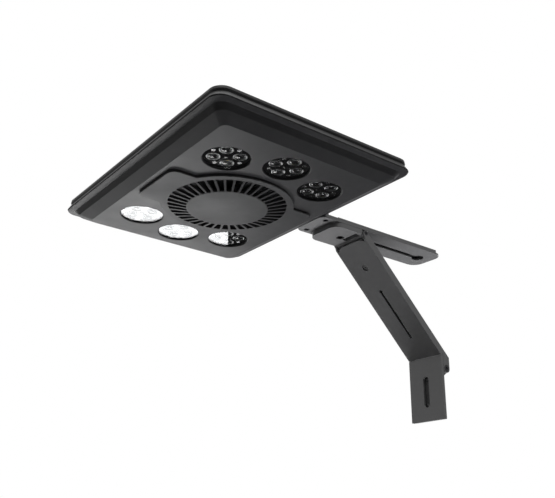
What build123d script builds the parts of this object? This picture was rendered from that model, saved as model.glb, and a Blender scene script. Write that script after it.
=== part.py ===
from build123d import *
import os
from math import sqrt

# Rectangular LED aquarium lamp with a central cooling fan, carried by a slotted rail and a hinged arm.
# Row frame: +Z up, +X to the right, +Y from the lamp towards the tank wall.
# Origin: rear face of the standoff behind the lower arm, at the centre of the mounting slot.
# The arms and the rail are drawn from the rear face of the lower arm's plate, and the lamp pieces
# about the centre of the underside panel (z = 0 on the panel, z up). Both are moved into the row
# frame at the end.

# ------------------------------------------------------------------ driving dimensions, mm
PANEL_X = 250.0            # flat underside panel, left to right
PANEL_Y = 174.0            # flat underside panel, front to rear
PANEL_R = 6.5              # corner radius of the panel
LAMP_Y = -274.2            # centre of the lamp, ahead of the lower arm's plate
FACE_Z = 149.5             # height of the underside panel above the mounting slot
WALL = 2.6                 # housing floor thickness

FAN_R = 58.0               # outer end of the air slots
DISC_R = 38.5              # solid disc in the middle of the grille
GRILLE_DROP = 5.6          # the disc stands this far below the panel
PLATEAU = 2.4              # thickness of the raised grille plate
AIR_SLOTS = 40
ROTOR_R = 55.0
FAN_BLADES = 11

PUCK_R = 21.3              # round opening of each lens group
LENS_R = 6.1
LENS_PITCH_R = 11.75       # circle that the four lenses sit on
PUCKS = {                  # name: centre x, centre y, turn of the lens pattern in degrees
    "right_front": (77.0, -52.25, -35.0),
    "right_middle": (93.75, 0.0, 0.0),
    "right_rear": (77.0, 52.25, 35.0),
    "left_front": (-77.0, -52.25, 35.0),
    "left_middle": (-93.75, 0.0, 0.0),
    "left_rear": (-77.0, 52.25, -35.0),
}

ARM_HALF = 23.75           # half-width of both arms
LOWER_T = 3.4              # lower arm plate
LOWER_END = -31.75         # bottom end of the lower arm
STANDOFF_T = 10.0          # holds the hinge ears clear of the tank wall
CREASE_Z = 38.0            # height where the two arms meet on the front face
WEB_T = 2.0                # front web of the upper arm channel
CHANNEL_D = 7.9            # depth of the upper arm channel
CHEEK_T = 2.5              # side walls of the upper arm channel
WEB_LEN = 155.5            # web, from the crease to its free top edge
WEB_TOP_R = 12.0           # corners of the free top edge

PIN_RUN = 0.06             # radial running clearance on the hinge pins
PIN_HEAD = 1.2             # pin heads and nuts are let into the cheeks by this depth
HEAD_GAP = 0.25            # radial clearance around them
GAP = 0.35                 # clearance between pieces that move past each other
LUG_T = 5.0                # inner hinge lugs of the elbow
ELBOW = (5.0, 23.6)        # elbow pin, y and z
ELBOW_PIN_R = 2.5
ELBOW_HEAD_R = 3.6
SHOULDER_S = 158.0         # shoulder pin, along the upper arm from the crease
SHOULDER_D = 5.7           # shoulder pin, behind the web's front face
SHOULDER_PIN_R = 1.6
SHOULDER_HEAD_R = 2.3

RAIL_HALF = 22.5
RAIL_Z = 157.6             # underside of the rail
RAIL_T = 1.8               # bottom plate
RAIL_WALL_TOP = 162.2
RAIL_WALL_T = 1.5
RAIL_LEDGE = 1.0           # the bottom plate stands out past the walls
RAIL_WALL_END = 2.9        # the walls stop here
RAIL_COVER_T = 1.0
RAIL_END = 13.3            # rear end of the bottom plate
RAIL_R = 12.5              # plan radius of the rail's rear corners
RAIL_SLOT_W = 6.0
KEYHOLE_Y = -5.45
KEYHOLE_R = 7.2
CLAMP_Y = -127.2           # clamp screw of the shoulder block
BLOCK_Z = 152.06           # underside of the shoulder block

# ------------------------------------------------------------------ derived places
ARMS = Pos(0, -STANDOFF_T, 0)
LAMP = ARMS * Pos(0, LAMP_Y, FACE_Z)
PANEL_REAR = LAMP_Y + PANEL_Y / 2
ARM_INNER = ARM_HALF - CHEEK_T
LUG_OUT = ARM_INNER - GAP
LUG_IN = LUG_OUT - LUG_T
ARM_PLANE = Plane(origin=(0, -LOWER_T, CREASE_Z), x_dir=(1, 0, 0), z_dir=(0, -1, -1))
SLOPE_STEP = 1 / sqrt(2)


def on_slope(along, depth):
    """Row y and z of a point on the upper arm, measured from the crease and behind the front face."""
    return (-LOWER_T + (depth - along) * SLOPE_STEP, CREASE_Z + (depth + along) * SLOPE_STEP)


SHOULDER = on_slope(SHOULDER_S, SHOULDER_D)


# ------------------------------------------------------------------ shape helpers
def plate(size_x, size_y, radius, z_low, z_high):
    """Flat plate with rounded plan corners."""
    outline = RectangleRounded(size_x, size_y, radius) if radius else Rectangle(size_x, size_y)
    return Pos(0, 0, z_low) * extrude(outline, z_high - z_low)


def panel_stack(levels):
    """Faceted tray body; each level is an outward offset from the panel, a height and a corner radius."""
    rings = []
    for offset, height, radius in levels:
        rings.append(Pos(0, 0, height) * RectangleRounded(PANEL_X + 2 * offset, PANEL_Y + 2 * offset, radius))
    return loft(rings, ruled=True)


def disc(radius, z_low, z_high):
    """Upright round slug on the z axis."""
    return Pos(0, 0, z_low) * extrude(Circle(radius), z_high - z_low)


def turned(points):
    """Solid of revolution about z from radius and height pairs."""
    return revolve(Plane.XZ * make_face(Polyline(*points, close=True)), Axis.Z)


def along_x(profile, x_low, x_high):
    """Extrudes a profile drawn in y and z between two x positions."""
    return extrude(Plane.YZ.offset(x_low) * profile, x_high - x_low)


def both_sides(profile, x_low, x_high):
    """The same profile on the right and on the left."""
    return along_x(profile, x_low, x_high) + along_x(profile, -x_high, -x_low)


def cross_pin(centre, radius, x_low, x_high):
    """Cylinder along x through a point given by y and z."""
    return along_x(Pos(*centre) * Circle(radius), x_low, x_high)


def group(solids):
    """Separate solids kept together in one node."""
    return Compound(children=list(solids))


def cap_screw(head_r, head_h, shank_r, length, socket_r):
    """Socket-head screw; the head's outer face is at z = 0 and the shank points up."""
    body = disc(head_r, 0, head_h) + disc(shank_r, head_h, head_h + length)
    socket = extrude(RegularPolygon(socket_r, 6), head_h * 0.6)
    return body - socket


# ------------------------------------------------------------------ lamp housing
POSTS = [(x, y) for x in (-112.0, 112.0) for y in (-76.0, 76.0)]
SINK_POSTS = [(x, y) for x in (-43.0, 43.0) for y in (-84.0, 84.0)]
SINK_LOW = 11.5
SINK_HIGH = 14.5
COVER_LOW = 17.6
COVER_TOP = 23.3
COVER_T = 2.3
BOLT_X = 12.0
BOLT_Z = 14.2
PAD_FACE = 21.0            # outer face of the rear mounting pad, beyond the panel edge
PAD_INNER = 15.0
INLET = (62.0, 80.0)       # power inlet on the top cover


def bottom_housing():
    outer = panel_stack([(0, 0, PANEL_R), (10.75, 5.6, 9.0), (12.7, 8.4, 9.5), (14.3, 10.3, 10.0),
                         (20.3, 10.9, 12.0), (PAD_FACE, 11.9, 12.5), (18.0, 17.3, 11.5)])
    inner = panel_stack([(-2.0, WALL, 5.0), (8.2, 8.0, 7.0), (11.6, 12.6, 7.5), (15.6, 13.4, 9.0),
                         (15.4, 17.3, 9.0)])
    rear_pad = Pos(0, PANEL_Y / 2 + (PAD_FACE + PAD_INNER) / 2, 14.6) * Box(46, PAD_FACE - PAD_INNER, 5.4)
    shell = outer - inner + rear_pad
    for x, y in POSTS + SINK_POSTS:
        shell += Pos(x, y, 0) * disc(4.0, WALL - 0.2, SINK_LOW)
    cuts = [disc(FAN_R + 2.0, -1, WALL + 1)]
    for x, y, turn in PUCKS.values():
        opening = Pos(x, y, 0) * disc(PUCK_R, -1, WALL + 1)
        lip = Pos(x, y, 0) * turned([(PUCK_R - 0.1, -0.01), (PUCK_R + 0.5, -0.01), (PUCK_R - 0.1, 0.6)])
        cuts += [opening, lip]
    for x, y in POSTS + SINK_POSTS:
        cuts.append(Pos(x, y, 0) * disc(1.5, WALL + 1, SINK_LOW + 1))
    for x in (-BOLT_X, BOLT_X):
        cuts.append(Pos(x, PANEL_Y / 2 + PAD_INNER - 2, BOLT_Z) * Rot(-90, 0, 0) * disc(2.0, 0, 10))
        cuts.append(Pos(x, PANEL_Y / 2 + PAD_INNER - 4, BOLT_Z) * Rot(-90, 0, 0) * disc(3.4, 0, 4))
    return shell - cuts


def fan_grille():
    outline = RectangleRounded(67.5, 162.5, 8.75) + Circle(65.0)
    base = extrude(outline, PLATEAU)
    base = chamfer(base.faces().sort_by(Axis.Z)[0].edges(), 0.5)
    base = Pos(0, 0, -PLATEAU) * base - disc(FAN_R + 0.4, -PLATEAU - 1, 1)
    # the dished slot ring runs from the plateau down to the flat disc
    dish = turned([(FAN_R + 0.6, -PLATEAU), (DISC_R, -GRILLE_DROP), (0, -GRILLE_DROP), (0, -GRILLE_DROP + 2),
                   (DISC_R - 0.5, -GRILLE_DROP + 2), (FAN_R + 0.6, 0)])
    inner = DISC_R + 1
    wedge = make_face(Polyline((inner, -2.1), (inner, 2.1), (FAN_R, 3.5), (FAN_R, -3.5), close=True))
    wedge = fillet(wedge.vertices(), 1.2)
    cutter = Pos(0, 0, -GRILLE_DROP - 1) * extrude(wedge, GRILLE_DROP + 3)
    slots = [Rot(0, 0, 360 / AIR_SLOTS * (i + 0.5)) * cutter for i in range(AIR_SLOTS)]
    return base + (dish - slots)


def top_cover():
    outer = panel_stack([(18.0, COVER_LOW, 11.5), (18.9, 19.2, 12.0), (18.6, 21.6, 12.0),
                         (16.2, COVER_TOP, 10.5)])
    inner = panel_stack([(15.4, COVER_LOW, 9.0), (15.6, COVER_TOP - COVER_T, 9.0)])
    cover = outer - inner
    for x, y in POSTS:
        cover += Pos(x, y, 0) * disc(4.5, SINK_HIGH, COVER_TOP - 1)
    cuts = []
    for x, y in POSTS:
        cuts.append(Pos(x, y, 0) * disc(2.1, SINK_HIGH - 1, COVER_TOP + 1))
        cuts.append(Pos(x, y, 0) * disc(3.9, COVER_TOP - 2.4, COVER_TOP + 1))
    # air intake: a round field of parallel slots above the fan
    for row in range(-6, 7):
        y = row * 8.0
        half = sqrt(54.0 ** 2 - y ** 2) - 3
        slot = Pos(0, y, COVER_TOP - 4) * extrude(SlotOverall(2 * half, 4.0), 6)
        cuts.append(slot - Pos(0, y, COVER_TOP - 4) * Box(5, 6, 14))
    # long cooling slots over the fins
    for side in (-1, 1):
        for row in range(-5, 6):
            cuts.append(Pos(side * 89, row * 8.0, COVER_TOP - 4) * extrude(SlotOverall(36, 3.0), 6))
    cuts.append(Pos(*INLET, 0) * disc(6.1, COVER_TOP - 4, COVER_TOP + 1))
    return cover - cuts


def cover_gasket():
    outer = plate(PANEL_X + 2 * 16.9, PANEL_Y + 2 * 16.9, 10, 17.3, COVER_LOW)
    return outer - plate(PANEL_X + 2 * 15.7, PANEL_Y + 2 * 15.7, 9, 17, 18)


FIN_X = 93.0
FIN_LEN = 56.0
FIN_H = 5.6
FIN_T = 1.8
FIN_PITCH = 8.0


def heat_sink():
    base = plate(250, 178, 6, SINK_LOW, SINK_HIGH)
    fins = []
    for side in (-1, 1):
        for row in range(-8, 9):
            fin = extrude(Rectangle(FIN_LEN, FIN_T), FIN_H)
            fins.append(Pos(side * FIN_X, row * FIN_PITCH, SINK_HIGH - 0.1) * fin)
    sink = base + fins
    cuts = [disc(FAN_R + 3.0, SINK_LOW - 1, COVER_TOP)]
    for x, y in POSTS + SINK_POSTS:
        cuts.append(Pos(x, y, 0) * disc(1.7, SINK_LOW - 1, SINK_HIGH + 1))
    for x, y in POSTS:
        cuts.append(Pos(x, y, 0) * disc(5.5, SINK_HIGH, COVER_TOP))
    cuts.append(Pos(*INLET, 0) * disc(8.0, SINK_LOW - 1, SINK_HIGH + 1))
    return sink - cuts


# ------------------------------------------------------------------ lens groups
def lens_spots(turn):
    """Locations of the four lenses of one group, before the group is moved into place."""
    return [Rot(0, 0, turn + 90 * i) * Pos(LENS_PITCH_R, 0, 0) for i in range(4)]


def lens_holder(turn):
    body = disc(PUCK_R + 2.2, WALL, 4.4)
    cuts = [spot * disc(LENS_R + 0.25, 1, 5) for spot in lens_spots(turn)]
    rims = [spot * (disc(LENS_R + 1.15, 2.3, 2.7) - disc(LENS_R + 0.25, 1, 3)) for spot in lens_spots(turn)]
    for i in range(4):
        cuts.append(Rot(0, 0, turn + 45 + 90 * i) * Pos(15.75, 0, 0) * disc(1.0, 1, 5))
    cuts.append(disc(1.4, 1, 5))
    return body - cuts + rims


def lens_cluster(turn):
    lens = turned([(0, 2.05), (3.2, 2.2), (5.2, 2.5), (LENS_R, 2.9), (LENS_R, 4.6), (3.0, 8.8), (2.6, 8.8),
                   (2.0, 7.6), (0, 7.6)])
    return group([spot * lens for spot in lens_spots(turn)])


def puck_screws():
    small = cap_screw(1.9, 0.5, 0.95, 5.6, 0.7)
    solids = []
    for x, y, turn in PUCKS.values():
        for i in range(4):
            solids.append(Pos(x, y, 2.1) * Rot(0, 0, turn + 45 + 90 * i) * Pos(15.75, 0, 0) * small)
        solids.append(Pos(x, y, 2.1) * cap_screw(2.4, 0.5, 1.3, 6.6, 0.9))
    return group(solids)


BOARD_LOW = 9.9


def led_board():
    return disc(PUCK_R + 0.7, BOARD_LOW, SINK_LOW)


def led_chips():
    chip = Pos(0, 0, BOARD_LOW - 1.0) * extrude(Rectangle(3.4, 3.4), 1.0)
    return group([Pos(x, y, 0) * spot * chip for x, y, turn in PUCKS.values() for spot in lens_spots(turn)])


# ------------------------------------------------------------------ fan
SPOKE_LOW = 15.0
FRAME_TOP = 17.0
FRAME_TURN = 45.0          # direction of the first spoke, degrees
FRAME_SCREW_R = 1.4
BEARING_R = 4.0
FLANGE_LOW = 13.6          # flange of the bearing tube, screwed to the hub of the frame


def frame_screw_spots():
    """Locations of the three screws between the frame's hub and the bearing flange."""
    return [Rot(0, 0, FRAME_TURN + 60 + 120 * i) * Pos(12.0, 0, 0) for i in range(3)]


def fan_frame():
    ring = disc(FAN_R + 1.8, WALL - 2.4, FRAME_TOP) - disc(FAN_R - 0.6, 0, FRAME_TOP + 1)
    hub = disc(16.0, SPOKE_LOW, FRAME_TOP)
    spoke = Pos(36.5, 0, SPOKE_LOW) * extrude(Rectangle(44.0, 4.0), FRAME_TOP - SPOKE_LOW)
    frame = ring + hub + [Rot(0, 0, FRAME_TURN + 120 * i) * spoke for i in range(3)]
    holes = [spot * disc(FRAME_SCREW_R + 0.1, SPOKE_LOW - 1, FRAME_TOP + 1) for spot in frame_screw_spots()]
    return frame - disc(BEARING_R + 0.05, 0, FRAME_TOP + 1) - holes


def fan_rotor():
    hub = turned([(0, 1.0), (17.0, 1.0), (19.0, 2.6), (19.0, 12.4), (17.4, 12.4), (17.4, 2.8), (0, 2.8)])
    hub -= disc(1.5, 0, 4)
    root = Pos(18.0, 0, 0) * Rot(0, 90, 0) * Rectangle(1.6, 13.0)
    tip = Pos(ROTOR_R, 0, 0) * Rot(0, 90, 0) * Rectangle(1.2, 22.0)
    blade = loft([Rot(38, 0, 0) * root, Rot(24, 0, 0) * tip])
    blade = Pos(0, 0, 7.4) * blade & disc(ROTOR_R, 2.2, 12.8)
    blades = [Rot(0, 0, 360 / FAN_BLADES * i) * blade for i in range(FAN_BLADES)]
    rotor = hub
    for one in blades:
        rotor += one - disc(18.2, 0, 14)
    return rotor


def fan_shaft():
    return disc(1.5, 1.4, 15.6)


def fan_bearing():
    flanged = turned([(1.56, 4.0), (BEARING_R, 4.0), (BEARING_R, FLANGE_LOW), (15.0, FLANGE_LOW),
                      (15.0, SPOKE_LOW), (BEARING_R, SPOKE_LOW), (BEARING_R, 16.4), (1.56, 16.4)])
    hole = disc(FRAME_SCREW_R, FLANGE_LOW - 1, SPOKE_LOW + 1)
    return flanged - [spot * hole for spot in frame_screw_spots()]


def fan_coils():
    core = disc(6.0, 5.4, FLANGE_LOW - 0.1) - disc(BEARING_R, 5, 14)
    poles = []
    for i in range(4):
        arm = Rot(0, 0, 45 + 90 * i) * Pos(9.0, 0, 6.4) * extrude(Rectangle(8.0, 5.0), 6.0)
        shoe = Rot(0, 0, 45 + 90 * i) * Pos(13.6, 0, 6.4) * extrude(Rectangle(2.4, 10.0), 6.0)
        poles += [arm, shoe]
    return core + poles


def fan_magnet():
    return disc(17.4, 4.0, 12.2) - disc(15.9, 3, 13)


def fan_screws():
    screw = cap_screw(2.6, 1.6, FRAME_SCREW_R, FRAME_TOP - FLANGE_LOW - 0.1, 1.2)
    flipped = Pos(0, 0, FRAME_TOP + 1.6) * Rot(180, 0, 0) * screw
    return group([spot * flipped for spot in frame_screw_spots()])


# ------------------------------------------------------------------ electronics
SPACER_H = 0.9
BOARD_T = 1.2
BOARD_Z = SINK_HIGH + SPACER_H
BOARD_Y = 78.5             # the driver board is at the rear, the control board at the front


def driver_board():
    board = extrude(Rectangle(70, 17), BOARD_T)
    capacitors = [Pos(x, 0, BOARD_T) * disc(3.6, 0, 3.4) for x in (-26, -16, -6)]
    coil = Pos(10, 0, BOARD_T) * extrude(RectangleRounded(12, 12, 1), 3.6)
    connector = Pos(26, 0, BOARD_T) * extrude(Rectangle(8, 10), 2.0)
    return Pos(0, BOARD_Y, BOARD_Z) * (board + capacitors + coil + connector)


def control_board():
    board = extrude(Rectangle(60, 17), BOARD_T)
    chip = Pos(-8, 0, BOARD_T) * extrude(Rectangle(9, 9), 1.2)
    radio = Pos(16, 0, BOARD_T) * extrude(Rectangle(16, 12), 2.4)
    return Pos(0, -BOARD_Y, BOARD_Z) * (board + chip + radio)


def board_spacers():
    spacer = disc(2.4, SINK_HIGH, BOARD_Z)
    spots = [(x, BOARD_Y) for x in (-32, 32)] + [(x, -BOARD_Y) for x in (-27, 27)]
    return group([Pos(x, y, 0) * spacer for x, y in spots])


def power_inlet():
    flange = disc(8.0, COVER_TOP, COVER_TOP + 1.6)
    barrel = disc(6.0, SINK_LOW + 1.0, COVER_TOP + 0.2)
    bore = disc(3.6, SINK_LOW + 3.0, COVER_TOP + 2)
    contact = disc(1.1, SINK_LOW + 2.0, COVER_TOP - 0.5)
    return Pos(*INLET, 0) * (flange + barrel - bore + contact)


def inlet_nut():
    top = COVER_TOP - COVER_T
    nut = Pos(0, 0, top - 2.4) * extrude(RegularPolygon(9.0, 6), 2.4) - disc(6.0, 0, COVER_TOP)
    return Pos(*INLET, 0) * nut


def cover_screws():
    screw = Pos(0, 0, COVER_TOP - 0.2) * Rot(180, 0, 0) * cap_screw(3.6, 2.2, 1.5, 16.0, 1.9)
    return group([Pos(x, y, 0) * screw for x, y in POSTS])


def sink_screws():
    screw = Pos(0, 0, SINK_HIGH + 1.8) * Rot(180, 0, 0) * cap_screw(2.9, 1.8, 1.5, 8.5, 1.4)
    return group([Pos(x, y, 0) * screw for x, y in SINK_POSTS])


# ------------------------------------------------------------------ lamp bracket and rail, in the row frame
BRACKET_FRONT = PANEL_REAR + PAD_FACE
RAIL_FRONT = PANEL_REAR + 15.5   # the bottom plate runs in under the lamp's rim
RAIL_WALL_FRONT = BRACKET_FRONT + 0.1
RAIL_FRONT_R = 8.0
TONGUE_END = BRACKET_FRONT + 17.0
TONGUE_T = 3.5
RAIL_SCREW_X = 15.6
RAIL_SCREW_Y = PANEL_REAR + 25.9
RAIL_FLOOR = RAIL_Z + RAIL_T
RAIL_LEN = RAIL_END - RAIL_FRONT
RAIL_MID = (RAIL_END + RAIL_FRONT) / 2
SLOT_FRONT = CLAMP_Y - 10.0
COVER_FRONT = TONGUE_END + 0.5


def lamp_bracket():
    head_top = FACE_Z + 17.3
    head = Pos(0, BRACKET_FRONT + 3, (RAIL_FLOOR + head_top) / 2) * Box(39, 6, head_top - RAIL_FLOOR)
    tongue_mid = (BRACKET_FRONT + TONGUE_END) / 2
    tongue = Pos(0, tongue_mid, RAIL_FLOOR + TONGUE_T / 2) * Box(39, TONGUE_END - BRACKET_FRONT, TONGUE_T)
    block = head + tongue
    block = chamfer(block.faces().sort_by(Axis.Y)[-1].edges().filter_by(Axis.Z), 4.0)
    cuts = []
    for side in (-1, 1):
        bolt_spot = Pos(side * BOLT_X, BRACKET_FRONT - 1, FACE_Z + BOLT_Z) * Rot(-90, 0, 0)
        cuts.append(bolt_spot * disc(2.05, 0, 15))
        cuts.append(Pos(side * RAIL_SCREW_X, RAIL_SCREW_Y, RAIL_FLOOR - 1) * disc(1.55, 0, 4.3))
    return block - cuts


def bracket_bolts():
    bolt = Rot(-90, 0, 0) * cap_screw(3.2, 2.0, 2.0, 14.0, 1.5)
    start = PANEL_REAR + PAD_INNER - 2.0
    return group([Pos(side * BOLT_X, start, FACE_Z + BOLT_Z) * bolt for side in (-1, 1)])


def rail_plan():
    """Outline of the bottom plate, well rounded at the rear."""
    outline = Pos(0, RAIL_MID) * Rectangle(2 * RAIL_HALF, RAIL_LEN)
    outline = fillet(outline.vertices().group_by(Axis.Y)[-1], RAIL_R)
    return fillet(outline.vertices().group_by(Axis.Y)[0], RAIL_FRONT_R)


def rail():
    plan = rail_plan()
    wall_h = RAIL_WALL_TOP - RAIL_FLOOR
    ring = offset(plan, -RAIL_LEDGE) - offset(plan, -RAIL_LEDGE - RAIL_WALL_T)
    walls = Pos(0, 0, RAIL_FLOOR) * extrude(ring, wall_h)
    walls -= Pos(0, RAIL_WALL_END + 20, RAIL_FLOOR) * Box(60, 40, 20)
    walls -= Pos(0, RAIL_WALL_FRONT - 10, RAIL_FLOOR) * Box(60, 20, 20)
    walls -= Pos(0, RAIL_WALL_FRONT + 2, RAIL_FLOOR) * Box(40, 14, 20)
    half = RAIL_HALF - RAIL_LEDGE - RAIL_WALL_T / 2
    end_wall = Pos(0, RAIL_WALL_END - 0.5, RAIL_FLOOR + wall_h / 2) * Box(2 * half, 1.0, wall_h)
    body = Pos(0, 0, RAIL_Z) * extrude(plan, RAIL_T) + walls + end_wall
    slot_len = KEYHOLE_Y - SLOT_FRONT
    slot = Pos(0, SLOT_FRONT + slot_len / 2) * Rotation(0, 0, 90) * SlotOverall(slot_len, RAIL_SLOT_W)
    cuts = [Pos(0, 0, RAIL_Z - 1) * extrude(slot + Pos(0, KEYHOLE_Y) * Circle(KEYHOLE_R), RAIL_T + 1.1)]
    for side in (-1, 1):
        spot = Pos(side * RAIL_SCREW_X, RAIL_SCREW_Y, RAIL_Z)
        cuts.append(spot * disc(1.7, -1, RAIL_T + 1))
        cuts.append(spot * disc(3.1, -1, 1.2))
    return body - cuts


def rail_cover():
    outline = offset(rail_plan(), -RAIL_LEDGE)
    outline &= Pos(0, (COVER_FRONT + RAIL_WALL_END) / 2) * Rectangle(60, RAIL_WALL_END - COVER_FRONT)
    top = Pos(0, 0, RAIL_WALL_TOP) * extrude(outline, RAIL_COVER_T)
    top = chamfer(top.faces().sort_by(Axis.Z)[-1].edges(), 0.4)
    ribs = [Pos(side * 19.2, -75, RAIL_WALL_TOP - 0.5) * Box(1.2, 130, 1.0) for side in (-1, 1)]
    return top + ribs


def rail_screws():
    screw = cap_screw(2.9, 1.1, 1.5, 3.7, 1.6)
    return group([Pos(side * RAIL_SCREW_X, RAIL_SCREW_Y, RAIL_Z + 0.1) * screw for side in (-1, 1)])


# ------------------------------------------------------------------ shoulder
BLOCK_TOP = RAIL_Z - 0.25
BLOCK_FRONT = -153.6
BLOCK_REAR = -115.6        # the block is flush with the rail's sides up to here
BLOCK_FRONT_R = 11.0
BARREL_HALF = ARM_INNER - GAP
BARREL_R = 4.0
POCKET_ROOF = 1.2
POCKET_X = (-3.2, 18.5)    # the pocket runs from the clamp screw to the right side
CLAMP_HEAD_R = 4.4


def shoulder_block():
    outline = Pos(0, (BLOCK_FRONT + BLOCK_REAR) / 2) * Rectangle(2 * RAIL_HALF, BLOCK_REAR - BLOCK_FRONT)
    outline = fillet(outline.vertices().group_by(Axis.Y)[0], BLOCK_FRONT_R)
    block = Pos(0, 0, BLOCK_Z) * extrude(outline, BLOCK_TOP - BLOCK_Z)
    y, z = SHOULDER
    rear = Polyline((BLOCK_REAR - 1, BLOCK_Z), (y, BLOCK_Z), (y + BARREL_R, z), (y + BARREL_R, BLOCK_TOP),
                    (BLOCK_REAR - 1, BLOCK_TOP), close=True)
    barrel = Pos(y, z) * Circle(BARREL_R) & Pos(y, BLOCK_TOP - 10) * Rectangle(20, 20)
    block += along_x(make_face(rear) + barrel, -BARREL_HALF, BARREL_HALF)
    cuts = [cross_pin(SHOULDER, SHOULDER_PIN_R + PIN_RUN, -ARM_HALF, ARM_HALF)]
    cuts.append(Pos(0, CLAMP_Y, BLOCK_Z) * disc(2.6, -1, BLOCK_TOP - BLOCK_Z + 1))
    cuts.append(Pos(0, CLAMP_Y, BLOCK_Z) * disc(CLAMP_HEAD_R + 0.2, -1, 3.2))
    pocket_front = CLAMP_Y + CLAMP_HEAD_R + 1.0
    pocket_rear = y - BARREL_R - 0.2
    pocket_len = pocket_rear - pocket_front
    pocket_left, pocket_right = POCKET_X
    pocket = plate(pocket_right - pocket_left, pocket_len, 1.0, -1, BLOCK_TOP - BLOCK_Z - POCKET_ROOF)
    cuts.append(Pos((pocket_left + pocket_right) / 2, pocket_front + pocket_len / 2, BLOCK_Z) * pocket)
    return block - cuts


def clamp_screw():
    head_h = 2.8
    start = BLOCK_Z + 0.4
    length = RAIL_WALL_TOP - 0.4 - start - head_h
    return Pos(0, CLAMP_Y, start) * cap_screw(CLAMP_HEAD_R, head_h, 2.5, length, 2.2)


def clamp_nut():
    low = RAIL_FLOOR + 0.25
    nut = plate(18, 12, 1.5, 0, RAIL_WALL_TOP - 0.35 - low) - disc(2.5, -1, 5)
    return Pos(0, CLAMP_Y, low) * nut


def hinge_pin(centre, radius, head_r):
    """Pin with a head let into the right cheek and a reduced end for the nut in the left one."""
    inner = ARM_HALF - PIN_HEAD
    shaft = cross_pin(centre, radius, -inner, inner)
    head = cross_pin(centre, head_r, inner, ARM_HALF - 0.1)
    driver = along_x(Pos(*centre) * RegularPolygon(head_r * 0.5, 6), ARM_HALF - 0.9, ARM_HALF)
    return shaft + head - driver + cross_pin(centre, radius * 0.6, -ARM_HALF + 0.1, -inner)


def hinge_nut(centre, radius, head_r):
    ring = cross_pin(centre, head_r, -ARM_HALF + 0.1, -ARM_HALF + PIN_HEAD)
    return ring - cross_pin(centre, radius * 0.6, -ARM_HALF - 1, 0)


def head_recesses(centre, head_r):
    """Cuts in the outer faces of both cheeks for a pin's head and nut."""
    radius = head_r + HEAD_GAP
    inner = ARM_HALF - PIN_HEAD
    return [cross_pin(centre, radius, inner, ARM_HALF + 1), cross_pin(centre, radius, -ARM_HALF - 1, -inner)]


# ------------------------------------------------------------------ arms
JOIN_R = 16.62             # the two front faces meet on a cylinder about the elbow pin
EAR_BACK = 9.7             # rear edge of the upper arm's elbow ears
EAR_R = EAR_BACK - ELBOW[0]
CHEEK_END = 154.0          # the cheeks keep their full depth up to here
NECK_HALF = 2.2            # the necks of the shoulder ears reach this far behind the pin
SHOULDER_EAR_R = 3.0
SHOULDER_EAR_LOW_R = 4.1   # the lower half of each shoulder ear is fuller
ARM_SLOT = (60.65, 65.9, 3.2)      # centre along the web, length and width
ARM_SCREW_S = 123.7        # screw that holds the rear cover, along the web
ARM_SCREW_R = 3.6
BACK_T = 1.5               # rear cover of the upper arm
BACK_D = 5.9               # its inner face, behind the web's front face
BACK_START = 8.0
BACK_END = 147.0


def cheek_profile():
    """Side of the upper arm in y and z: elbow ear, full-depth channel side, neck and shoulder ear."""
    back_y = EAR_BACK
    back_z = sum(on_slope(0, CHANNEL_D)) - back_y
    front = SHOULDER_D - SHOULDER_EAR_LOW_R
    rear = SHOULDER_D + NECK_HALF
    ear_front = ELBOW[0] - EAR_R
    side = Polyline((-LOWER_T, CREASE_Z), on_slope(CHEEK_END, 0), on_slope(CHEEK_END + 3.0, front),
                    on_slope(SHOULDER_S, front), on_slope(SHOULDER_S, rear), on_slope(0, rear),
                    (back_y, back_z), (back_y, ELBOW[1]), (ear_front, ELBOW[1]), (ear_front, CREASE_Z),
                    close=True)
    y, z = SHOULDER
    fuller = Pos(y, z) * Circle(SHOULDER_EAR_LOW_R) & Pos(y, z - 10) * Rectangle(20, 20)
    return make_face(side) + Pos(*ELBOW) * Circle(EAR_R) + Pos(y, z) * Circle(SHOULDER_EAR_R) + fuller


def upper_arm():
    web_outline = Pos(0, (WEB_LEN - 4) / 2) * Rectangle(2 * ARM_HALF, WEB_LEN + 4)
    web_outline = fillet(web_outline.vertices().group_by(Axis.Y)[-1], WEB_TOP_R)
    web = extrude(ARM_PLANE * web_outline, -WEB_T)
    arm = web + both_sides(cheek_profile(), ARM_INNER, ARM_HALF)
    front_clear = cross_pin(ELBOW, JOIN_R + GAP / 2, -ARM_HALF - 1, ARM_HALF + 1)
    front_clear &= Pos(0, ELBOW[0] - EAR_R - 25, CREASE_Z) * Box(60, 50, 80)
    cuts = [front_clear]
    cuts.append(cross_pin(ELBOW, ELBOW_PIN_R + PIN_RUN, -30, 30))
    cuts.append(cross_pin(SHOULDER, SHOULDER_PIN_R, -30, 30))
    cuts += head_recesses(ELBOW, ELBOW_HEAD_R) + head_recesses(SHOULDER, SHOULDER_HEAD_R)
    centre, length, width = ARM_SLOT
    slot = Pos(0, centre) * Rotation(0, 0, 90) * SlotOverall(length, width)
    slot += Pos(0, centre + length / 2 - 2.2) * Circle(2.4)
    cuts.append(extrude(ARM_PLANE.offset(1) * slot, -WEB_T - 2))
    cuts.append(extrude(ARM_PLANE.offset(1) * (Pos(0, ARM_SCREW_S) * Circle(ARM_SCREW_R + 0.4)), -WEB_T - 1))
    return arm - cuts


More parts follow.
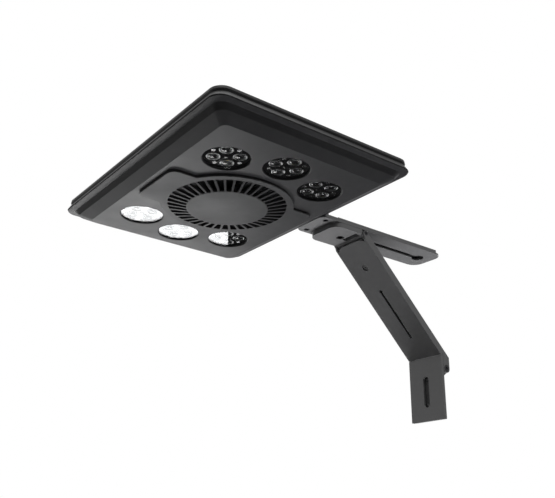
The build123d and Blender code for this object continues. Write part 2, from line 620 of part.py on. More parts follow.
def arm_cover():
    """Cover that closes the back of the channel; its post reaches the hole in the web."""
    half = ARM_INNER - 0.1
    outline = Pos(0, (BACK_START + BACK_END) / 2) * RectangleRounded(2 * half, BACK_END - BACK_START, 2.0)
    back = extrude(ARM_PLANE.offset(-BACK_D) * outline, -BACK_T)
    post = extrude(ARM_PLANE.offset(-WEB_T) * (Pos(0, ARM_SCREW_S) * Circle(5.0)), WEB_T - BACK_D - 0.2)
    bore = extrude(ARM_PLANE.offset(-WEB_T + 1) * (Pos(0, ARM_SCREW_S) * Circle(1.25)), -BACK_D + 0.5)
    return back + post - bore


def arm_screw():
    screw = cap_screw(ARM_SCREW_R, 1.1, 1.25, 4.0, 1.5)
    return ARM_PLANE.location * Pos(0, ARM_SCREW_S, -WEB_T + 1.1) * Rot(180, 0, 0) * screw


def lower_arm():
    height = CREASE_Z + 2 - LOWER_END
    body = Pos(0, -LOWER_T / 2, LOWER_END + height / 2) * Box(2 * ARM_HALF, LOWER_T, height)
    body = fillet(body.edges().filter_by(Axis.Y).group_by(Axis.Z)[0], 0.8)
    round_top = cross_pin(ELBOW, JOIN_R - GAP / 2, -ARM_HALF, ARM_HALF)
    below = Pos(0, 0, ELBOW[1] - 30) * Box(60, 60, 60)
    body &= round_top + below
    y, z = ELBOW
    rear = y + 1.5
    lug = make_face(Polyline((-0.5, z - 11), (rear, z - 4.9), (rear, z + 4.9), (-0.5, z + 9), close=True))
    lug += Pos(y, z) * Circle(5.2)
    body += both_sides(lug, LUG_IN, LUG_OUT)
    slot = Rotation(0, 0, 90) * SlotOverall(34.0, 8.0)
    slot_cut = extrude(Plane.XZ.offset(-5) * slot, 15)
    return body - cross_pin(ELBOW, ELBOW_PIN_R, -30, 30) - slot_cut


def standoff():
    """Block behind the lower arm's plate, slotted for the mounting bolt."""
    outline = RectangleRounded(20.0, 39.0, 3.0) - Rotation(0, 0, 90) * SlotOverall(30.0, 6.6)
    return extrude(Plane.XZ * outline, -STANDOFF_T)


# ------------------------------------------------------------------ nodes
lamp_nodes = {
    "bottom_housing": bottom_housing(),
    "fan_grille": fan_grille(),
    "top_cover": top_cover(),
    "cover_gasket": cover_gasket(),
    "heat_sink": heat_sink(),
    "puck_screws": puck_screws(),
    "fan_frame": fan_frame(),
    "fan_rotor": fan_rotor(),
    "fan_shaft": fan_shaft(),
    "fan_bearing": fan_bearing(),
    "fan_coils": fan_coils(),
    "fan_magnet": fan_magnet(),
    "fan_screws": fan_screws(),
    "driver_board": driver_board(),
    "control_board": control_board(),
    "board_spacers": board_spacers(),
    "power_inlet": power_inlet(),
    "inlet_nut": inlet_nut(),
    "cover_screws": cover_screws(),
    "sink_screws": sink_screws(),
    "led_chips": led_chips(),
}
for place, (x, y, turn) in PUCKS.items():
    spot = Pos(x, y, 0)
    lamp_nodes["lens_holder_" + place] = spot * lens_holder(turn)
    lamp_nodes["lens_cluster_" + place] = spot * lens_cluster(turn)
    lamp_nodes["led_board_" + place] = spot * led_board()

arm_nodes = {
    "lamp_bracket": lamp_bracket(),
    "bracket_bolts": bracket_bolts(),
    "rail": rail(),
    "rail_cover": rail_cover(),
    "rail_screws": rail_screws(),
    "shoulder_block": shoulder_block(),
    "clamp_screw": clamp_screw(),
    "clamp_nut": clamp_nut(),
    "shoulder_pin": hinge_pin(SHOULDER, SHOULDER_PIN_R, SHOULDER_HEAD_R),
    "shoulder_nut": hinge_nut(SHOULDER, SHOULDER_PIN_R, SHOULDER_HEAD_R),
    "upper_arm": upper_arm(),
    "arm_cover": arm_cover(),
    "arm_screw": arm_screw(),
    "elbow_pin": hinge_pin(ELBOW, ELBOW_PIN_R, ELBOW_HEAD_R),
    "elbow_nut": hinge_nut(ELBOW, ELBOW_PIN_R, ELBOW_HEAD_R),
    "lower_arm": lower_arm(),
    "standoff": standoff(),
}
nodes = {name: LAMP * shape for name, shape in lamp_nodes.items()}
nodes.update({name: ARMS * shape for name, shape in arm_nodes.items()})

os.makedirs("parts", exist_ok=True)
for name, shape in nodes.items():
    export_step(shape, "parts/" + name + ".step")
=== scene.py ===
import math

import bmesh
import bpy
from mathutils import Matrix, Vector


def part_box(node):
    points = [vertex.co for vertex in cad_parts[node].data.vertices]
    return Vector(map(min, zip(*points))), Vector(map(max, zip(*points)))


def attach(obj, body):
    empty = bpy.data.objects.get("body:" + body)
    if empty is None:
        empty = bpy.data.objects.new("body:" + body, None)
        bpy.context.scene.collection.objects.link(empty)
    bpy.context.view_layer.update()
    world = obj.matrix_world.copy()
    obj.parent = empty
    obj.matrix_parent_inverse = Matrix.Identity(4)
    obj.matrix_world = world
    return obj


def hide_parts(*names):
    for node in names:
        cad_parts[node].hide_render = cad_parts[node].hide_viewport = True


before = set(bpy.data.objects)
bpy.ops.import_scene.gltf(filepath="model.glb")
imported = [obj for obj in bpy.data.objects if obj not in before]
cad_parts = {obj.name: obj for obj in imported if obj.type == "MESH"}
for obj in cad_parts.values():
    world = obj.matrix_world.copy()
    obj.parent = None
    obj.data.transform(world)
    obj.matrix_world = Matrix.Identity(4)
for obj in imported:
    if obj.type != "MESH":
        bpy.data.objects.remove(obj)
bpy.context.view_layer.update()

MM = 0.001

# ------------------------------------------------------------------ places, from the CAD frame
PLACES = ("right_front", "right_middle", "right_rear", "left_front", "left_middle", "left_rear")


def middle(node):
    """Centre of a CAD node's box at rest, in metres."""
    low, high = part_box(node)
    return (low + high) / 2


LAMP = middle("bottom_housing")
PANEL = Vector((LAMP.x, LAMP.y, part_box("bottom_housing")[0].z))     # middle of the flat underside panel


# ------------------------------------------------------------------ camera
# The camera's place is in metres from the panel's middle, along the camera's own right, up and back.
CAMERA_PLACE = (0.04894, -0.04380, 0.74397)
CAMERA_TURN = 52.974                        # degrees round the vertical; at 0 the camera looks along +Y
CAMERA_TILT = 21.358                        # degrees that it looks up
CAMERA_ROLL = 0.804                         # degrees about its line of sight
LENS_MM = 49.46
SENSOR_MM = 36.0
NEAR = 0.01                                 # clipping, in metres
FAR = 50.0


def make_camera():
    """Camera below the lamp and to its right, looking up at the underside."""
    data = bpy.data.cameras.new("camera")
    data.lens = LENS_MM
    data.sensor_width = SENSOR_MM
    data.clip_start = NEAR
    data.clip_end = FAR
    camera = bpy.data.objects.new("camera", data)
    turn = Matrix.Rotation(math.radians(CAMERA_TURN), 4, "Z")
    tilt = Matrix.Rotation(math.radians(90 + CAMERA_TILT), 4, "X")
    roll = Matrix.Rotation(math.radians(CAMERA_ROLL), 4, "Z")
    stand = Matrix.Translation(Vector(CAMERA_PLACE))
    camera.matrix_world = Matrix.Translation(PANEL) @ turn @ tilt @ roll @ stand
    bpy.context.scene.collection.objects.link(camera)
    bpy.context.scene.camera = camera


# ------------------------------------------------------------------ node graph helper
NOISE_LOW = 0.3                             # nearly all of a noise lies between these two values
NOISE_HIGH = 0.7
EDGE_STARTS = 0.999                         # cosines between the eased and the true normal
EDGE_FULL = 0.90
MIX_COLOURS = (6, 7)                        # the Mix node's sockets for two colours and their mixture
MIX_RESULT = 2


class Graph:
    """A node tree with short calls for the nodes that the finishes share."""

    def __init__(self, tree):
        self.tree = tree
        tree.nodes.clear()

    def add(self, kind, inputs=None, **settings):
        """New node; an input is either a value or the socket that feeds it."""
        node = self.tree.nodes.new(kind)
        for key, value in settings.items():
            setattr(node, key, value)
        for key, value in (inputs or {}).items():
            if isinstance(value, bpy.types.NodeSocket):
                self.tree.links.new(value, node.inputs[key])
            else:
                node.inputs[key].default_value = value
        return node

    def place(self):
        """Position on the piece, in metres."""
        return self.add("ShaderNodeTexCoord").outputs["Object"]

    def noise(self, scale, detail=3.0, rough=0.5, stretch=None):
        """Soft noise; the stretch multiplies its frequency along each axis."""
        vector = self.place()
        if stretch:
            vector = self.add("ShaderNodeMapping", {"Vector": vector, "Scale": stretch}).outputs["Vector"]
        made = self.add("ShaderNodeTexNoise",
                        {"Vector": vector, "Scale": scale, "Detail": detail, "Roughness": rough})
        return made.outputs["Fac"]

    def cells(self, scale):
        """Soft round cells, like the peel of a sprayed coat."""
        made = self.add("ShaderNodeTexVoronoi", {"Vector": self.place(), "Scale": scale},
                        feature="SMOOTH_F1")
        return made.outputs["Distance"]

    def remap(self, value, low, high, to_low, to_high):
        """Carries the range low to high over to a new range."""
        made = self.add("ShaderNodeMapRange", {"Value": value, "From Min": low, "From Max": high,
                                               "To Min": to_low, "To Max": to_high})
        return made.outputs["Result"]

    def spread(self, value, to_low, to_high):
        """Carries the usual range of a noise over to a new range."""
        return self.remap(value, NOISE_LOW, NOISE_HIGH, to_low, to_high)

    def math(self, operation, first, second):
        """Sum, difference or product of two values."""
        return self.add("ShaderNodeMath", {0: first, 1: second}, operation=operation).outputs[0]

    def weighed(self, first, first_share, second, second_share):
        """Sum of two values, each times its share."""
        return self.math("ADD", self.math("MULTIPLY", first, first_share),
                         self.math("MULTIPLY", second, second_share))

    def mix(self, amount, first, second):
        """Colour between two colours or colour sockets."""
        made = self.add("ShaderNodeMix", {"Factor": amount}, data_type="RGBA")
        for index, value in zip(MIX_COLOURS, (first, second)):
            if isinstance(value, bpy.types.NodeSocket):
                self.tree.links.new(value, made.inputs[index])
            else:
                made.inputs[index].default_value = (*value, 1.0)
        return made.outputs[MIX_RESULT]

    def patches(self, scale, detail, first, second):
        """Two colours in soft patches."""
        return self.mix(self.spread(self.noise(scale, detail), 0.0, 1.0), first, second)

    def rounded(self, radius):
        """Surface normal with the sharp edges eased over this radius, in metres."""
        return self.add("ShaderNodeBevel", {"Radius": radius}, samples=4).outputs["Normal"]

    def edge(self, radius):
        """0 on open faces, rising to 1 along sharp edges."""
        true_normal = self.add("ShaderNodeNewGeometry").outputs["Normal"]
        product = self.add("ShaderNodeVectorMath", {0: self.rounded(radius), 1: true_normal},
                           operation="DOT_PRODUCT").outputs["Value"]
        return self.remap(product, EDGE_STARTS, EDGE_FULL, 0.0, 1.0)

    def bump(self, height, strength, depth, normal=None):
        """Surface normal disturbed by a height; the depth is in metres."""
        inputs = {"Height": height, "Strength": strength, "Distance": depth}
        if normal is not None:
            inputs["Normal"] = normal
        return self.add("ShaderNodeBump", inputs).outputs["Normal"]

    def surface(self, colour, rough, normal=None, **fixed):
        """Principled shader to the output; the fixed values are set on its own sockets."""
        inputs = {"Base Color": colour, "Roughness": rough}
        if normal is not None:
            inputs["Normal"] = normal
        shader = self.add("ShaderNodeBsdfPrincipled", inputs)
        for name, value in fixed.items():
            shader.inputs[name.replace("_", " ")].default_value = value
        output = self.add("ShaderNodeOutputMaterial")
        self.tree.links.new(shader.outputs[0], output.inputs[0])


def new_material(name):
    """Empty material and the graph to draw its nodes with."""
    material = bpy.data.materials.new(name)
    material.use_nodes = True
    return material, Graph(material.node_tree)


# ------------------------------------------------------------------ finishes
# Scales count features to the metre, so 1500 is a grain of about 0.7 mm.
GRAIN_DEPTH = 0.03 * MM                     # height of a moulded, sprayed or cast grain
LINE_DEPTH = 0.02 * MM                      # height of drawn lines, frost and gel
TRACK_DEPTH = 0.04 * MM                     # height of the copper under solder mask
POLISH_DEPTH = 0.01 * MM
COAT_EASE = 0.35 * MM                       # a sharp edge looks rounded to this radius
MOULD_EASE = 0.25 * MM
METAL_EASE = 0.2 * MM
RUB_WIDTH = 0.45 * MM                       # how far wear reaches from an edge
COAT_GRAIN = 0.048                          # bump strengths
MOULD_GRAIN = 0.25
METAL_GRAIN = 0.15
POLISH_GRAIN = 0.01


def powder_coat(name, dark, light, wear, rough, specular):
    """Satin powder coat: fine orange peel, faint mottling, edges rubbed a little paler."""
    material, g = new_material(name)
    mottling = g.weighed(g.noise(9.0, detail=4.0), 0.6, g.noise(160.0, detail=2.0), 0.4)
    body = g.mix(g.spread(mottling, 0.0, 1.0), dark, light)
    fleck = g.remap(g.noise(2600.0, detail=1.0), 0.64, 0.74, 0.0, 0.35)
    body = g.mix(fleck, body, wear)
    rub = g.math("MULTIPLY", g.edge(RUB_WIDTH), g.remap(g.noise(90.0, detail=5.0), 0.42, 0.62, 0.0, 0.8))
    body = g.mix(rub, body, wear)
    smudge = g.spread(g.noise(22.0, detail=5.0, rough=0.6), rough - 0.05, rough + 0.06)
    finish = g.math("SUBTRACT", smudge, g.math("MULTIPLY", rub, 0.08))
    peel = g.math("ADD", g.noise(1500.0, detail=2.0), g.math("MULTIPLY", g.cells(700.0), 0.6))
    normal = g.bump(peel, COAT_GRAIN, GRAIN_DEPTH, g.rounded(COAT_EASE))
    g.surface(body, finish, normal, Specular_IOR_Level=specular)
    return material


def moulded(name, dark, light, rough):
    """Moulded plastic with a fine spark-eroded grain."""
    material, g = new_material(name)
    body = g.patches(25.0, 4.0, dark, light)
    finish = g.spread(g.noise(60.0, detail=4.0, rough=0.6), rough - 0.05, rough + 0.06)
    swell = g.math("MULTIPLY", g.noise(300.0, detail=2.0), 0.3)
    spark = g.math("ADD", g.noise(2200.0, detail=3.0, rough=0.7), swell)
    g.surface(body, finish, g.bump(spark, MOULD_GRAIN, GRAIN_DEPTH, g.rounded(MOULD_EASE)))
    return material


def metal(name, dark, light, rough, stretch=(1.0, 1.0, 1.0), grain=METAL_GRAIN):
    """Bare or plated metal with a drawn grain along one direction and light staining."""
    material, g = new_material(name)
    stain = g.noise(120.0, detail=5.0, rough=0.6)
    body = g.mix(g.remap(stain, 0.35, 0.65, 0.0, 1.0), dark, light)
    lines = g.noise(900.0, detail=3.0, rough=0.6, stretch=stretch)
    finish = g.spread(g.weighed(lines, 0.7, stain, 0.3), rough - 0.08, rough + 0.1)
    g.surface(body, finish, g.bump(lines, grain, LINE_DEPTH, g.rounded(METAL_EASE)), Metallic=1.0)
    return material


def rubber(name, dark, light):
    """Matte cut rubber sheet."""
    material, g = new_material(name)
    body = g.patches(80.0, 4.0, dark, light)
    finish = g.spread(g.noise(200.0, detail=3.0), 0.62, 0.8)
    normal = g.bump(g.noise(1800.0, detail=3.0), 0.3, GRAIN_DEPTH)
    g.surface(body, finish, normal, Specular_IOR_Level=0.35)
    return material


def circuit_board(name, dark, light, track):
    """Solder mask over faint copper tracks."""
    material, g = new_material(name)
    brick = g.add("ShaderNodeTexBrick", {"Vector": g.place(), "Scale": 220.0, "Mortar Size": 0.08})
    lanes = brick.outputs["Fac"]
    body = g.mix(g.remap(g.noise(70.0, detail=3.0), 0.35, 0.65, 0.0, 1.0), dark, light)
    body = g.mix(g.math("MULTIPLY", lanes, 0.6), body, track)
    finish = g.spread(g.noise(300.0, detail=3.0), 0.3, 0.45)
    g.surface(body, finish, g.bump(lanes, 0.3, TRACK_DEPTH))
    return material


def clear_lens(name):
    """Clear moulded acrylic with a faint frost on its outer skin; its grey tint is painted shade that
    keeps the lens centres dark.
    """
    material, g = new_material(name)
    # Painted shade: a grey body tint in place of clear acrylic, darkening the middle of each lens.
    body = g.mix(g.noise(90.0, detail=3.0), (0.42, 0.43, 0.44), (0.53, 0.54, 0.55))
    finish = g.remap(g.noise(420.0, detail=4.0, rough=0.6), 0.35, 0.65, 0.01, 0.05)
    normal = g.bump(g.noise(700.0, detail=2.0), 0.04, LINE_DEPTH)
    g.surface(body, finish, normal, Transmission_Weight=1.0, IOR=1.49)
    return material


def thin_window(name):
    """Thin coated pane: mostly see-through, with a mirror sheen and the faintest wipe marks."""
    material, g = new_material(name)
    body = g.mix(g.noise(60.0, detail=2.0), (0.76, 0.77, 0.78), (0.82, 0.83, 0.84))
    finish = g.remap(g.noise(150.0, detail=5.0, rough=0.65), 0.45, 0.75, 0.0, 0.02)
    g.surface(body, finish, Metallic=1.0, Alpha=0.10)
    return material


def gloss_black(name, dark, light):
    """Polished black moulding with hairline polishing marks."""
    material, g = new_material(name)
    body = g.patches(110.0, 4.0, dark, light)
    finish = g.remap(g.noise(500.0, detail=5.0, rough=0.7), 0.4, 0.7, 0.03, 0.06)
    normal = g.bump(g.noise(240.0, detail=3.0), POLISH_GRAIN, POLISH_DEPTH)
    g.surface(body, finish, normal, Specular_IOR_Level=0.6)
    return material


def phosphor(name):
    """Yellow phosphor gel of an unlit LED."""
    material, g = new_material(name)
    body = g.patches(1500.0, 4.0, (0.75, 0.5, 0.06), (0.95, 0.75, 0.16))
    finish = g.spread(g.noise(800.0, detail=2.0), 0.2, 0.4)
    normal = g.bump(g.noise(2500.0, detail=3.0), 0.3, LINE_DEPTH)
    g.surface(body, finish, normal, Subsurface_Weight=0.1)
    return material


def plain_name(material):
    """Name without the number that Blender adds when a name is used twice."""
    return material.name.split(".")[0]


def make_finishes():
    """One finish for each material slot of the record, and two for the picture's own pieces."""
    made = (
        powder_coat("housing_black", (0.006, 0.006, 0.0065), (0.010, 0.010, 0.0105),
                    wear=(0.035, 0.035, 0.036), rough=0.43, specular=0.42),
        powder_coat("cover_black", (0.009, 0.009, 0.0095), (0.015, 0.015, 0.0155),
                    wear=(0.045, 0.045, 0.046), rough=0.43, specular=0.45),
        powder_coat("grille_black", (0.006, 0.006, 0.0065), (0.010, 0.010, 0.0105),
                    wear=(0.035, 0.035, 0.036), rough=0.45, specular=0.42),
        powder_coat("arm_black", (0.034, 0.034, 0.035), (0.046, 0.046, 0.047),
                    wear=(0.11, 0.11, 0.112), rough=0.36, specular=1.0),
        rubber("seal_rubber", (0.012, 0.012, 0.013), (0.022, 0.022, 0.023)),
        metal("sink_aluminium", (0.55, 0.56, 0.58), (0.72, 0.73, 0.75), 0.36, stretch=(1.0, 14.0, 14.0)),
        metal("screw_steel", (0.55, 0.55, 0.56), (0.75, 0.75, 0.76), 0.25),
        metal("screw_black", (0.035, 0.035, 0.038), (0.07, 0.07, 0.075), 0.38),
        metal("ring_chrome", (0.62, 0.62, 0.63), (0.78, 0.78, 0.79), 0.30, grain=0.02),
        metal("pin_steel", (0.5, 0.5, 0.51), (0.7, 0.7, 0.71), 0.28, stretch=(14.0, 1.0, 1.0)),
        metal("bearing_brass", (0.55, 0.38, 0.14), (0.72, 0.53, 0.22), 0.3),
        metal("coil_copper", (0.55, 0.22, 0.1), (0.75, 0.34, 0.16), 0.35, stretch=(1.0, 1.0, 16.0)),
        metal("magnet_grey", (0.12, 0.12, 0.13), (0.2, 0.2, 0.21), 0.55),
        moulded("fan_plastic", (0.012, 0.012, 0.013), (0.02, 0.02, 0.021), 0.42),
        circuit_board("board_green", (0.012, 0.09, 0.035), (0.02, 0.14, 0.055), track=(0.05, 0.22, 0.1)),
        circuit_board("board_white", (0.62, 0.62, 0.6), (0.74, 0.74, 0.72), track=(0.5, 0.5, 0.49)),
        moulded("spacer_nylon", (0.6, 0.6, 0.57), (0.72, 0.72, 0.68), 0.45),
        moulded("socket_black", (0.014, 0.014, 0.015), (0.022, 0.022, 0.023), 0.4),
        # Painted shade: holder_black is set near-black, darker than the real moulding, so the lens
        # holders, plugs, lens cups and LED packages that take it look deep in shade.
        gloss_black("holder_black", (0.0008, 0.0008, 0.0009), (0.0016, 0.0016, 0.0017)),
        clear_lens("lens_clear"),
        thin_window("thin_window"),
        phosphor("led_yellow"),
    )
    return {plain_name(material): material for material in made}


def paint_nodes(finishes):
    """Each CAD node keeps its mesh and takes the finish named by its record slot."""
    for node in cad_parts.values():
        slot = plain_name(node.data.materials[0])
        node.data.materials[0] = finishes[slot]


# ------------------------------------------------------------------ mesh pieces
# Radii and heights are in millimetres; heights count up from the underside panel.
ROUND = 56                                  # sides of a lens, a ring or a plug
FINE_ROUND = 96                             # sides of a window, the dust screen's rim or the floor
ON_AXIS = 0.001                             # a smaller radius is a single point
SHARP = 40                                  # degrees; steeper edges stay crisp
LENS_PITCH = 11.75                          # radius of the circle that the four lenses of a group sit on
LENS_TURNS = {"right_front": -35, "right_middle": 0, "right_rear": 35,
              "left_front": 35, "left_middle": 0, "left_rear": -35}


def revolve(bm, profile, centre, segments=ROUND, closed=True):
    """Body of revolution about an upright axis; the profile is radius and height pairs."""
    rings = []
    for radius, height in profile:
        around = 1 if radius < ON_AXIS else segments
        ring = []
        for step in range(around):
            angle = math.tau * step / segments
            out = Vector((math.cos(angle), math.sin(angle), 0)) * radius + Vector((0, 0, height))
            ring.append(bm.verts.new(centre + out * MM))
        rings.append(ring)
    pairs = list(zip(rings, rings[1:]))
    if closed:
        pairs.append((rings[-1], rings[0]))
    for first, second in pairs:
        for step in range(segments):
            after = (step + 1) % segments
            corners = [first[step % len(first)], first[after % len(first)],
                       second[after % len(second)], second[step % len(second)]]
            corners = list(dict.fromkeys(corners))
            if len(corners) > 2:
                bm.faces.new(corners)


def make_piece(name, bm, material, body, sharp=SHARP):
    """Turns the drawn mesh into a piece that rides on a body; edges above the sharp angle stay crisp."""
    bmesh.ops.recalc_face_normals(bm, faces=bm.faces)
    mesh = bpy.data.meshes.new(name)
    bm.to_mesh(mesh)
    bm.free()
    mesh.shade_smooth()
    mesh.set_sharp_from_angle(angle=math.radians(sharp))
    mesh.materials.append(material)
    piece = bpy.data.objects.new(name, mesh)
    bpy.context.scene.collection.objects.link(piece)
    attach(piece, body)
    return piece


def group_centre(place):
    """Middle of a lens group, level with the underside panel."""
    centre = middle("lens_holder_" + place)
    centre.z = PANEL.z
    return centre


def lens_spots(place):
    """Middles of the four lenses of a group, level with the underside panel."""
    for quarter in range(4):
        angle = math.radians(LENS_TURNS[place] + 90 * quarter)
        yield group_centre(place) + Vector((math.cos(angle), math.sin(angle), 0)) * (LENS_PITCH * MM)


# ------------------------------------------------------------------ lenses and their rings
LENS_EDGE_R = 4.5                           # crowned front of a lens
LENS_FRONT = 2.1                            # height of its middle
LENS_BULGE = 0.5                            # how much higher its edge lies
LENS_SHARP = 50                             # degrees
CROWN_POWER = 2.4
CROWN_STEPS = 8
FLANGE_R = 6.05                             # widest part of a lens
FLANGE_LOW = 3.2
FLANGE_RISE = 0.2                           # how much higher its outer edge lies
CONE_LOW = 4.5                              # total-reflection cone behind the flange
CONE_TALL = 4.3
CONE_TAPER = 3.0                            # how much its radius shrinks on the way up
CONE_POWER = 0.8
CONE_STEPS = 6
WELL = ((2.6, 8.8), (2.2, 7.8), (1.2, 7.4), (0, 7.3))    # hollow end of the cone, over the LED
RING_R = 5.75
RING_HIGH = 2.85
RING_HALF_WIDE = 0.85
RING_HALF_TALL = 0.9
BEAD_STEPS = 18


def lens_profile():
    """Crowned front, short wall, steep total-reflection cone and a hollow over the LED."""
    front = []
    for step in range(CROWN_STEPS + 1):
        part = step / CROWN_STEPS
        front.append((LENS_EDGE_R * part, LENS_FRONT + LENS_BULGE * part ** CROWN_POWER))
    flange = [(LENS_EDGE_R, FLANGE_LOW), (FLANGE_R, FLANGE_LOW + FLANGE_RISE)]
    cone = []
    for step in range(CONE_STEPS + 1):
        part = step / CONE_STEPS
        cone.append((FLANGE_R - CONE_TAPER * part ** CONE_POWER, CONE_LOW + CONE_TALL * part))
    return front + flange + cone + list(WELL)


def bead_profile(radius, height, half_wide, half_tall, steps=BEAD_STEPS):
    """Bead with an elliptical section."""
    points = []
    for step in range(steps):
        angle = math.tau * step / steps
        points.append((radius + half_wide * math.cos(angle), height + half_tall * math.sin(angle)))
    return points


def make_lens_groups(finishes):
    """Finer lenses in place of the CAD ones, each with a polished ring round its front."""
    ring = bead_profile(RING_R, RING_HIGH, RING_HALF_WIDE, RING_HALF_TALL)
    for place in PLACES:
        lenses = bmesh.new()
        rings = bmesh.new()
        for spot in lens_spots(place):
            revolve(lenses, lens_profile(), spot, closed=False)
            revolve(rings, ring, spot)
        piece = make_piece("lenses_" + place, lenses, finishes["lens_clear"], "lamp",
                           LENS_SHARP)
        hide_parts("lens_cluster_" + place)
        make_piece("lens_rings_" + place, rings, finishes["ring_chrome"], "lamp")


# ------------------------------------------------------------------ plugs
PLUG_DOME = ((0, 1.92), (1.4, 1.94), (2.2, 2.0), (2.6, 2.15), (2.75, 2.35), (2.75, 2.6), (0, 2.6))


def make_plugs(finishes):
    """Black caps over the middle screw of each lens group."""
    plugs = bmesh.new()
    for place in PLACES:
        revolve(plugs, PLUG_DOME, group_centre(place), closed=False)
    make_piece("puck_plugs", plugs, finishes["holder_black"], "lamp")


# ------------------------------------------------------------------ windows and lens cups that paint shade
WINDOW_R = 21.1
WINDOW_LOW = 1.25
WINDOW_T = 0.4
WINDOW_BEVEL_WIDE = 0.25
WINDOW_BEVEL_TALL = 0.2
WINDOW_SHARP = 20                           # degrees
CUP_ROUND = 40
CUP = ((6.3, 2.9), (6.3, 4.5), (3.6, 8.4), (3.4, 9.3), (3.15, 9.3), (3.3, 8.4), (6.12, 4.4), (6.12, 2.9))


def make_windows(finishes):
    """Clear flush window over each lens group, and the near-black cups that its lenses stand in, put
    there as painted shade so the lens centres look dark.
    """
    back = WINDOW_LOW + WINDOW_T
    pane = [(0, WINDOW_LOW), (WINDOW_R - WINDOW_BEVEL_WIDE, WINDOW_LOW),
            (WINDOW_R, WINDOW_LOW + WINDOW_BEVEL_TALL), (WINDOW_R, back), (0, back)]
    cups = bmesh.new()
    for place in PLACES:
        window = bmesh.new()
        revolve(window, pane, group_centre(place), FINE_ROUND, closed=False)
        make_piece("lens_window_" + place, window, finishes["thin_window"], "lamp",
                   WINDOW_SHARP)
        for spot in lens_spots(place):
            revolve(cups, CUP, spot, CUP_ROUND)
    # Painted shade: near-black sleeves round each lens that darken its middle.
    make_piece("lens_shade_cups", cups, finishes["holder_black"], "lamp")


# ------------------------------------------------------------------ dust screen
SCREEN_R = 56.0
SCREEN_PITCH = 1.5
SCREEN_LAYERS = (19.6, 20.3)                # heights of the wires along X and of those along Y
WIRE_R = 0.4
WIRE_SIDES = 6
RIM_R = 56.6
RIM_HIGH = 19.9
RIM_HALF = 0.9
RIM_SIDES = 8


def add_wire(bm, centre, across, height, reach, along_y):
    """Straight wire from one side of the screen to the other."""
    ends = []
    for end in (-reach, reach):
        ring = []
        for side in range(WIRE_SIDES):
            angle = math.tau * side / WIRE_SIDES
            wide = across + WIRE_R * math.cos(angle)
            up = height + WIRE_R * math.sin(angle)
            point = (wide, end, up) if along_y else (end, wide, up)
            ring.append(bm.verts.new(centre + Vector(point) * MM))
        ends.append(ring)
    for side in range(WIRE_SIDES):
        after = (side + 1) % WIRE_SIDES
        bm.faces.new([ends[0][side], ends[0][after], ends[1][after], ends[1][side]])
    bm.faces.new(ends[0])
    bm.faces.new(list(reversed(ends[1])))


def make_dust_screen(finishes):
    """Fine wire screen under the air intake of the top cover, held in a round rim."""
    screen = bmesh.new()
    revolve(screen, bead_profile(RIM_R, RIM_HIGH, RIM_HALF, RIM_HALF, RIM_SIDES), PANEL, FINE_ROUND)
    count = int(SCREEN_R / SCREEN_PITCH)
    for along_y, height in enumerate(SCREEN_LAYERS):
        for step in range(-count, count + 1):
            across = step * SCREEN_PITCH
            reach = math.sqrt(SCREEN_R ** 2 - across ** 2)
            add_wire(screen, PANEL, across, height, reach, along_y)
    make_piece("dust_screen", screen, finishes["screw_black"], "lamp")


# ------------------------------------------------------------------ LEDs
LED_CORNER_R = 2.4                          # half the diagonal of the square package
LED_TALL = 0.6                              # from its board down to its face
LED_BEVEL = 0.1
LED_SIDES = 4
DISH_R = 1.25                               # shallow dish in the face, which the dome stands in
DISH_DEEP = 0.15
DOME_R = 1.2
DOME_TALL = 0.5
DOME_STEPS = 6
DOME_ROUND = 20


def make_leds(finishes):
    """Yellow phosphor domes on packages painted near-black, as painted shade that keeps the lens centres
    dark, in place of the plain chips.
    """
    board = (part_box("led_board_right_middle")[0].z - PANEL.z) / MM
    face = board - LED_TALL
    dish = face + DISH_DEEP
    package = [(0, dish), (DOME_R, dish), (DISH_R, face), (LED_CORNER_R - LED_BEVEL, face),
               (LED_CORNER_R, face + LED_BEVEL), (LED_CORNER_R, board), (0, board)]
    crown = []
    for step in range(DOME_STEPS + 1):
        angle = math.pi / 2 * step / DOME_STEPS
        crown.append((DOME_R * math.sin(angle), dish - DOME_TALL * math.cos(angle)))
    bases = bmesh.new()
    domes = bmesh.new()
    for place in PLACES:
        for spot in lens_spots(place):
            revolve(bases, package, spot, LED_SIDES, closed=False)
            revolve(domes, crown, spot, DOME_ROUND, closed=False)
    piece = make_piece("led_domes", domes, finishes["led_yellow"], "lamp")
    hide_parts("led_chips")
    # Painted shade: the packages take the near-black holder finish instead of their own pale colour.
    make_piece("led_shade_bases", bases, finishes["holder_black"], "lamp")


# ------------------------------------------------------------------ studio, in metres and watts
FLOOR_Z = -1.10                             # a tank rim stands about this far above the floor
FLOOR_R = 9.0
FLOOR_DARK = (0.80, 0.80, 0.80)
FLOOR_LIGHT = (0.84, 0.84, 0.84)
FLOOR_ROUGH = 0.75


def make_floor():
    """Plain pale floor, far below the lamp; glossy surfaces don't mirror it."""
    mesh = bpy.data.meshes.new("studio_floor")
    bm = bmesh.new()
    bmesh.ops.create_circle(bm, cap_ends=True, radius=FLOOR_R, segments=FINE_ROUND)
    bm.to_mesh(mesh)
    bm.free()
    floor = bpy.data.objects.new("studio_floor", mesh)
    floor.location = (0, LAMP.y, FLOOR_Z)
    bpy.context.scene.collection.objects.link(floor)
    material, g = new_material("studio_floor")
    g.surface(g.mix(g.noise(1.5, detail=3.0), FLOOR_DARK, FLOOR_LIGHT), FLOOR_ROUGH)
    mesh.materials.append(material)
    floor.visible_glossy = False


WORLD_BELOW = 0.02                          # brightness of the sky's low and high parts
WORLD_ABOVE = 0.65
WORLD_DIM_TO = -0.24                        # sines of the heights where the change starts and ends
WORLD_PALE_FROM = 0.10
WHITE = (1, 1, 1, 1)


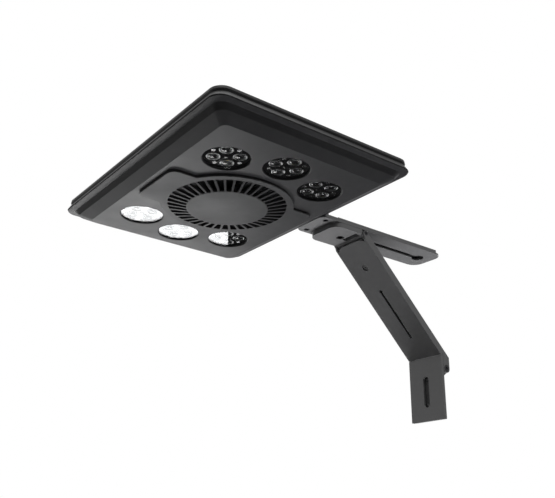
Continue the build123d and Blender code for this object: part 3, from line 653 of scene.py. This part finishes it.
def make_world():
    """White to the camera; to everything else pale above and dim below, like a cove lit from overhead."""
    world = bpy.data.worlds.new("studio")
    world.use_nodes = True
    bpy.context.scene.world = world
    g = Graph(world.node_tree)
    direction = g.add("ShaderNodeTexCoord").outputs["Generated"]
    height = g.add("ShaderNodeSeparateXYZ", {"Vector": direction}).outputs["Z"]
    level = g.remap(height, WORLD_DIM_TO, WORLD_PALE_FROM, WORLD_BELOW, WORLD_ABOVE)
    unseen = g.add("ShaderNodeBackground", {"Color": WHITE, "Strength": level})
    seen = g.add("ShaderNodeBackground", {"Color": WHITE, "Strength": 1.0})
    is_camera = g.add("ShaderNodeLightPath").outputs["Is Camera Ray"]
    either = g.add("ShaderNodeMixShader", {0: is_camera, 1: unseen.outputs[0], 2: seen.outputs[0]})
    output = g.add("ShaderNodeOutputWorld")
    g.tree.links.new(either.outputs[0], output.inputs[0])


# Places and aims of the lights are offsets from the middle of the underside panel.
LOW_EDGE = (-1.61, 1.048, -0.765)           # edge whose mirror image ends the white in the lens groups
LOW_ALONG = (-0.606, -0.795, 0)             # direction in which the low softbox runs on from that edge
LOW_WIDTH = 2.6
LOW_HEIGHT = 0.53
LOW_POWER = 21.0
UNDER_PLACE = (-0.3, 0.9, -1.0)
UNDER_AIM = (0, 0.15, 0)
UNDER_SIZE = 0.8
UNDER_POWER = 85.0
TOP_PLACE = (0.3, -0.1, 1.45)
TOP_SIZE = 1.6
TOP_POWER = 14.0


def softbox(name, centre, target, width, height, power):
    """Rectangular area light that the camera doesn't see."""
    data = bpy.data.lights.new(name, "AREA")
    data.shape = "RECTANGLE"
    data.size = width
    data.size_y = height
    data.energy = power
    light = bpy.data.objects.new(name, data)
    light.location = centre
    light.rotation_mode = "QUATERNION"
    light.rotation_quaternion = (target - centre).to_track_quat("-Z", "Y")
    light.visible_camera = False
    bpy.context.scene.collection.objects.link(light)
    return light


def make_lights():
    """Long low softbox that whitens the left lens groups, a soft one from below and one from above."""
    along = Vector(LOW_ALONG).normalized()
    facing = Vector((-along.y, along.x, 0))
    centre = PANEL + Vector(LOW_EDGE) + along * (LOW_WIDTH / 2)
    softbox("low_softbox", centre, centre + facing, LOW_WIDTH, LOW_HEIGHT, LOW_POWER)
    under = softbox("under_softbox", PANEL + Vector(UNDER_PLACE), PANEL + Vector(UNDER_AIM),
                    UNDER_SIZE, UNDER_SIZE, UNDER_POWER)
    under.visible_glossy = False            # it lights the lamp but isn't mirrored in the lenses
    softbox("top_softbox", PANEL + Vector(TOP_PLACE), PANEL, TOP_SIZE, TOP_SIZE, TOP_POWER)


# ------------------------------------------------------------------ the picture
bpy.context.scene.view_settings.view_transform = "Standard"
make_camera()
make_world()
make_floor()
make_lights()
finishes = make_finishes()
paint_nodes(finishes)
make_lens_groups(finishes)
make_plugs(finishes)
make_leds(finishes)
make_windows(finishes)
make_dust_screen(finishes)
